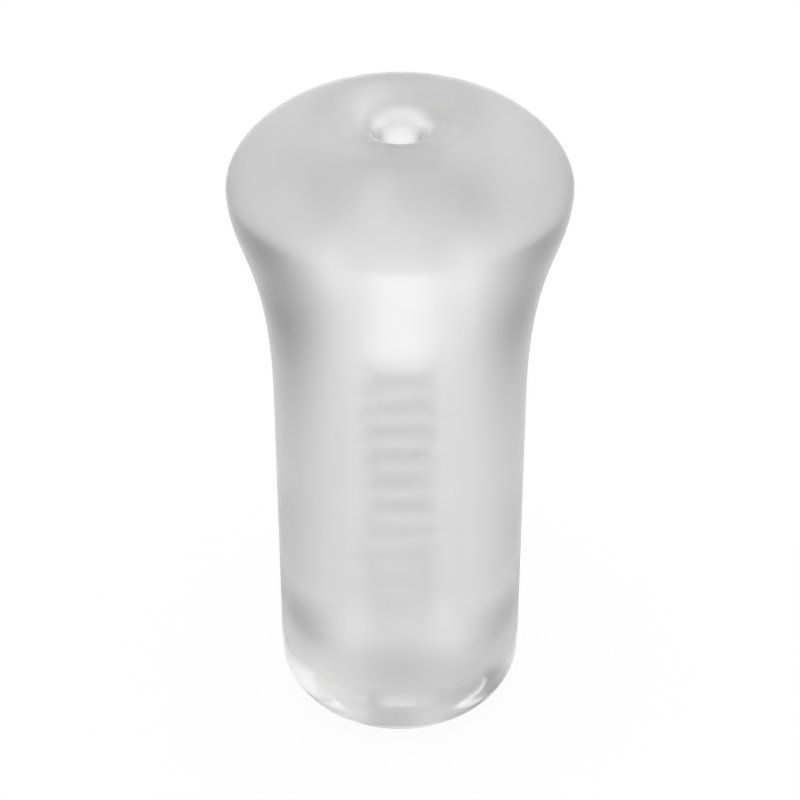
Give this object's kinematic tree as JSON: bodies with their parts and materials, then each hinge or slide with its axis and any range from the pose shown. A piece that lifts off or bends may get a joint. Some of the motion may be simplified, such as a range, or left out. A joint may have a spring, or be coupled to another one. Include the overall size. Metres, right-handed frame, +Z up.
{
  "type": "flared elastomer sleeve",
  "caption": "Translucent soft moulded sleeve with a rounded clear foot, straight barrel, flared head and dished mouth over a ribbed liner that draws out through the foot behind a pull-out end plug.",
  "frame": {"origin": "middle of the foot, at the level it stands on", "axes": "+Z up along the axis of the channel, out of the mouth; the part is round about it"},
  "size_m": [0.063, 0.063, 0.13],
  "materials": {
    "satin_elastomer": "satin",
    "liner_elastomer": "gloss",
    "plug_elastomer": "gloss"
  },
  "bodies": {
    "sleeve": {"flared_body": "satin_elastomer"},
    "liner": {"ribbed_liner": "liner_elastomer"},
    "plug": {"end_plug": "plug_elastomer"}
  },
  "joints": [
    {"name": "liner_pull", "type": "slide", "parent": "sleeve", "child": "liner", "axis": [0, 0, -1], "range_m": [0, 0.125]},
    {"name": "plug_pull", "type": "slide", "parent": "liner", "child": "plug", "axis": [0, 0, -1], "range_m": [0, 0.014]}
  ]
}
